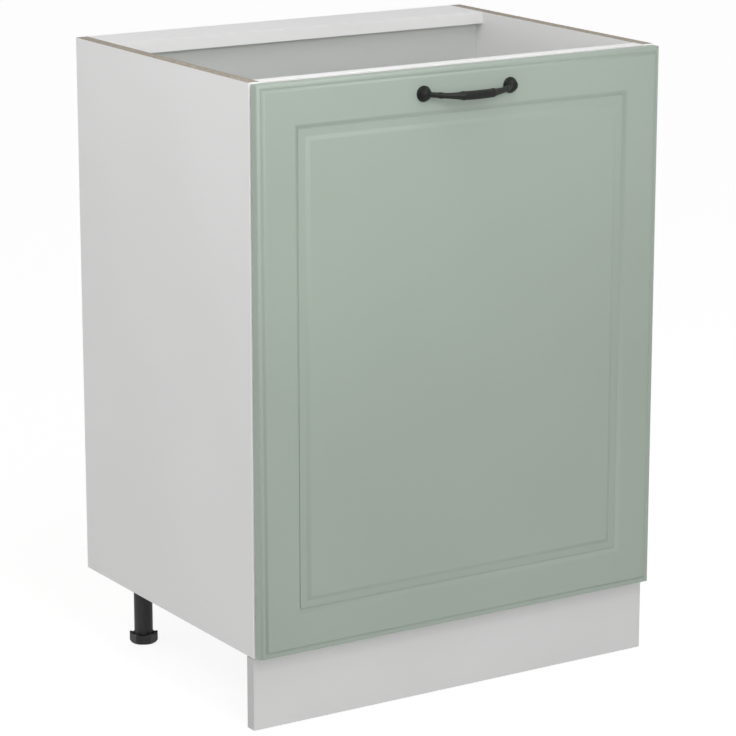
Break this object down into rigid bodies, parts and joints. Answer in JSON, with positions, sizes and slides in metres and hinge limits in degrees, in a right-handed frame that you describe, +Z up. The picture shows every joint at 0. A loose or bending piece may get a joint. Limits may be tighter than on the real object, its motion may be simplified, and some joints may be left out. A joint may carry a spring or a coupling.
{
  "type": "kitchen base cabinet",
  "caption": "Kitchen base cabinet with a hinged framed front, bow handle, open top between rails, inner shelf, clip-on plinth and adjustable feet.",
  "frame": {"origin": "on the floor, under the middle of the outer box", "axes": "+X to the right seen from the front, +Y to the back, +Z up"},
  "size_m": [0.6, 0.494, 0.816],
  "materials": {
    "white_melamine": "white melamine board, satin, raw tan core on uncovered edges",
    "white_edge_band": "white edge band, satin",
    "white_hardboard": "thin hardboard, white inside",
    "green_front": "board wrapped in sage green film, matt",
    "black_metal": "black, semi-matt",
    "black_plastic": "moulded black plastic",
    "clear_plastic": "milky plastic",
    "hinge_steel": "nickel plated steel",
    "screw_steel": "zinc plated",
    "zinc_fittings": "cast and turned, zinc plated",
    "beech": "plain beech",
    "buffer_plastic": "soft clear plastic"
  },
  "bodies": {
    "carcass": {"back_panel": "white_hardboard", "bottom_edge_band": "white_edge_band", "bottom_panel": "white_melamine", "cam_bolts": "zinc_fittings", "cam_locks": "zinc_fittings", "front_left_leg_socket": "black_plastic", "front_left_leg_tube": "black_plastic", "front_rail": "white_melamine", "front_rail_edge_band": "white_edge_band", "front_right_leg_socket": "black_plastic", "front_right_leg_tube": "black_plastic", "hinge_arm_pins": "hinge_steel", "hinge_clamp_screws": "screw_steel", "hinge_plate_screws": "screw_steel", "left_edge_band": "white_edge_band", "left_side_panel": "white_melamine", "leg_screws": "screw_steel", "lower_hinge_arm": "hinge_steel", "lower_hinge_plate": "hinge_steel", "rear_left_leg_socket": "black_plastic", "rear_left_leg_tube": "black_plastic", "rear_rail": "white_melamine", "rear_right_leg_socket": "black_plastic", "rear_right_leg_tube": "black_plastic", "right_edge_band": "white_edge_band", "right_side_panel": "white_melamine", "shelf_board": "white_melamine", "shelf_edge_band": "white_edge_band", "shelf_pins": "zinc_fittings", "upper_hinge_arm": "hinge_steel", "upper_hinge_plate": "hinge_steel", "wooden_dowels": "beech"},
    "inner_links": {"upper_inner_link": "hinge_steel", "lower_inner_link": "hinge_steel"},
    "outer_links": {"upper_outer_link": "hinge_steel", "lower_outer_link": "hinge_steel"},
    "door": {"door_panel": "green_front", "handle": "black_metal", "handle_screws": "screw_steel", "door_buffers": "buffer_plastic", "upper_hinge_cup": "hinge_steel", "lower_hinge_cup": "hinge_steel", "hinge_cup_screws": "screw_steel", "hinge_cup_pins": "hinge_steel"},
    "plinth": {"plinth_board": "white_melamine", "left_plinth_clip": "clear_plastic", "right_plinth_clip": "clear_plastic", "plinth_clip_screws": "screw_steel"},
    "front_left_foot": {"front_left_foot": "black_plastic"},
    "front_right_foot": {"front_right_foot": "black_plastic"},
    "rear_left_foot": {"rear_left_foot": "black_plastic"},
    "rear_right_foot": {"rear_right_foot": "black_plastic"}
  },
  "joints": [
    {"name": "door_swing", "type": "hinge", "parent": "inner_links", "child": "door", "pos_m": [0.289, -0.2045, 0.456], "axis": [0, 0, 1], "range_deg": [0, 124.3]},
    {"name": "inner_link_swing", "type": "hinge", "parent": "carcass", "child": "inner_links", "pos_m": [0.2645, -0.1824, 0.456], "axis": [0, 0, 1], "range_deg": [-24.5, 0]},
    {"name": "outer_link_swing", "type": "hinge", "parent": "carcass", "child": "outer_links", "pos_m": [0.252, -0.1939, 0.456], "axis": [0, 0, 1], "range_deg": [-34.6, 0]},
    {"name": "plinth_pull", "type": "slide", "parent": "carcass", "child": "plinth", "axis": [0, -1, 0], "range_m": [0, 0.1]},
    {"name": "front_left_foot_screw", "type": "slide", "parent": "carcass", "child": "front_left_foot", "axis": [0, 0, -1], "range_m": [0, 0.02]},
    {"name": "front_right_foot_screw", "type": "slide", "parent": "carcass", "child": "front_right_foot", "axis": [0, 0, -1], "range_m": [0, 0.02]},
    {"name": "rear_left_foot_screw", "type": "slide", "parent": "carcass", "child": "rear_left_foot", "axis": [0, 0, -1], "range_m": [0, 0.02]},
    {"name": "rear_right_foot_screw", "type": "slide", "parent": "carcass", "child": "rear_right_foot", "axis": [0, 0, -1], "range_m": [0, 0.02]}
  ],
  "couplings": [
    {"joint": "inner_link_swing", "follows": "door_swing", "ratio": -0.1955},
    {"joint": "outer_link_swing", "follows": "door_swing", "ratio": -0.27594}
  ]
}
